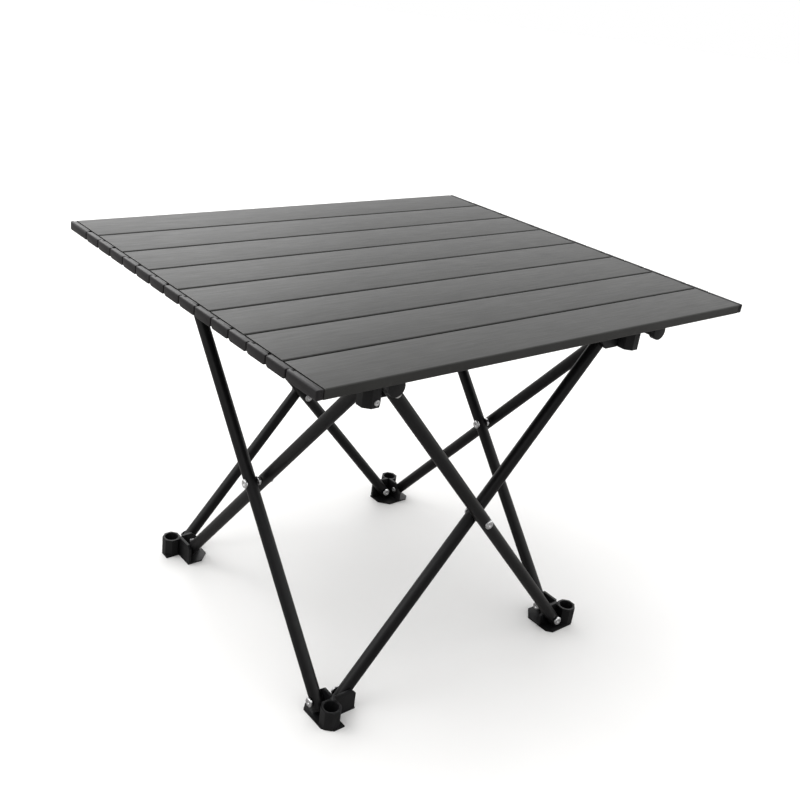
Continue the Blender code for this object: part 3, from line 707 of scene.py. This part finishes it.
# ---------------------------------------------------------------- room
def add_floor():
    """A pale floor disc, which answers mirror-like rays with a darker tone: painted shade in the floor's
    reflections.
    """
    angle = np.linspace(0.0, 2 * math.pi, FLOOR_SIDES, endpoint=False)
    height = np.full(FLOOR_SIDES, FLOOR_HEIGHT)
    points = np.stack([FLOOR_RADIUS * np.cos(angle), FLOOR_RADIUS * np.sin(angle), height], axis=1)
    mesh = bpy.data.meshes.new("floor")
    mesh.from_pydata(points, [], [list(range(FLOOR_SIDES))])
    floor = bpy.data.objects.new("floor", mesh)
    bpy.context.scene.collection.objects.link(floor)
    material, nodes, links, shader, place = new_finish("floor_paint")
    cloud = grain(nodes, links, place, FLOOR_CELLS)
    pale = blend_colours(nodes, links, spread(nodes, links, cloud, 0, 1), FLOOR_DARK, FLOOR_LIGHT)
    # Painted shade: mirror-like rays see the floor in the darker tone, so reflections of the floor are painted
    # darker.
    painted_reflection_shade_mask = nodes.new("ShaderNodeLightPath").outputs["Is Glossy Ray"]
    links.new(blend_colours(nodes, links, painted_reflection_shade_mask, pale, FLOOR_REFLECTION_PAINTED_SHADE), shader.inputs["Base Color"])
    shader.inputs["Roughness"].default_value = FLOOR_ROUGHNESS
    mesh.materials.append(material)


def add_sky():
    """A sky whose strength grows with the cosine between a direction and its bright side, seen itself as plain."""
    world = bpy.data.worlds.new("sky")
    bpy.context.scene.world = world
    world.use_nodes = True
    nodes, links = world.node_tree.nodes, world.node_tree.links
    sky = nodes["Background"]
    facing = nodes.new("ShaderNodeVectorMath")
    facing.operation = "DOT_PRODUCT"
    facing.inputs[1].default_value = SKY_TOWARD
    links.new(nodes.new("ShaderNodeTexCoord").outputs["Generated"], facing.inputs[0])
    tone = spread(nodes, links, facing.outputs["Value"], *SKY_TONES, *SKY_RANGE)
    seen = nodes.new("ShaderNodeMix")
    links.new(nodes.new("ShaderNodeLightPath").outputs["Is Camera Ray"], seen.inputs["Factor"])
    links.new(tone, seen.inputs["A"])
    seen.inputs["B"].default_value = SKY_SEEN
    links.new(seen.outputs["Result"], sky.inputs["Strength"])
    sky.inputs["Color"].default_value = (1.0, 1.0, 1.0, 1.0)


def add_soft_lights():
    """Two wide round lights, above and behind the table, that the camera doesn't see."""
    for name, place_at, size, power in SOFT_LIGHTS:
        lamp = bpy.data.lights.new(name, "AREA")
        lamp.shape, lamp.size, lamp.energy = "DISK", size, power
        item = bpy.data.objects.new(name, lamp)
        item.location = place_at
        item.rotation_euler = (Vector(place_at) - Vector(LIGHTS_FACE)).to_track_quat("Z", "Y").to_euler()
        item.visible_camera = False
        bpy.context.scene.collection.objects.link(item)


def add_sun():
    """A wide, soft sun from high on the left, for the even floor and the faint shadows."""
    lamp = bpy.data.lights.new("sun", "SUN")
    lamp.energy, lamp.angle = SUN_POWER, math.radians(SUN_WIDTH)
    item = bpy.data.objects.new("sun", lamp)
    item.rotation_euler = (math.radians(SUN_TILT[0]), math.radians(SUN_TILT[1]), 0.0)
    bpy.context.scene.collection.objects.link(item)


def add_camera():
    """A camera set by its azimuth, elevation, roll and place, with a small shift for the framing."""
    azimuth, elevation, roll = (math.radians(value) for value in CAMERA_TURN)
    level = math.cos(elevation)
    back = np.array([math.sin(azimuth) * level, -math.cos(azimuth) * level, math.sin(elevation)])
    right = np.array([math.cos(azimuth), math.sin(azimuth), 0.0])
    up = np.cross(back, right)
    rolled_right = right * math.cos(roll) + up * math.sin(roll)
    rolled_up = -right * math.sin(roll) + up * math.cos(roll)
    camera = bpy.data.cameras.new("camera")
    camera.sensor_width, camera.lens = CAMERA_SENSOR, CAMERA_LENS
    camera.shift_x, camera.shift_y = CAMERA_SHIFT
    camera.clip_start, camera.clip_end = CAMERA_CLIP
    item = bpy.data.objects.new("camera", camera)
    bpy.context.scene.collection.objects.link(item)
    placed = Matrix.Identity(4)
    for column, axis in enumerate((rolled_right, rolled_up, back, CAMERA_AT)):
        for row in range(3):
            placed[row][column] = float(axis[row])
    item.matrix_world = placed
    bpy.context.scene.camera = item


# ---------------------------------------------------------------- assembly
for number in range(1, SLAT_COUNT + 1):
    add_slat(number)
    for side, word in ((-1, "left"), (1, "right")):
        add_cap(number, side, word)
        if number < SLAT_COUNT:
            add_link(number, side, word)
        if number in HOOK_SLATS:
            add_hook(number, side, word)
for turn, (wall, corner) in enumerate(zip(WALLS, CORNERS)):
    add_wall(turn, wall)
    add_corner(turn, corner)
add_rail(-1, "left", "hub_back_left")
add_rail(1, "right", "hub_back_right")
add_floor()
add_sky()
add_soft_lights()
add_sun()
add_camera()
bpy.context.scene.view_settings.view_transform = "Standard"
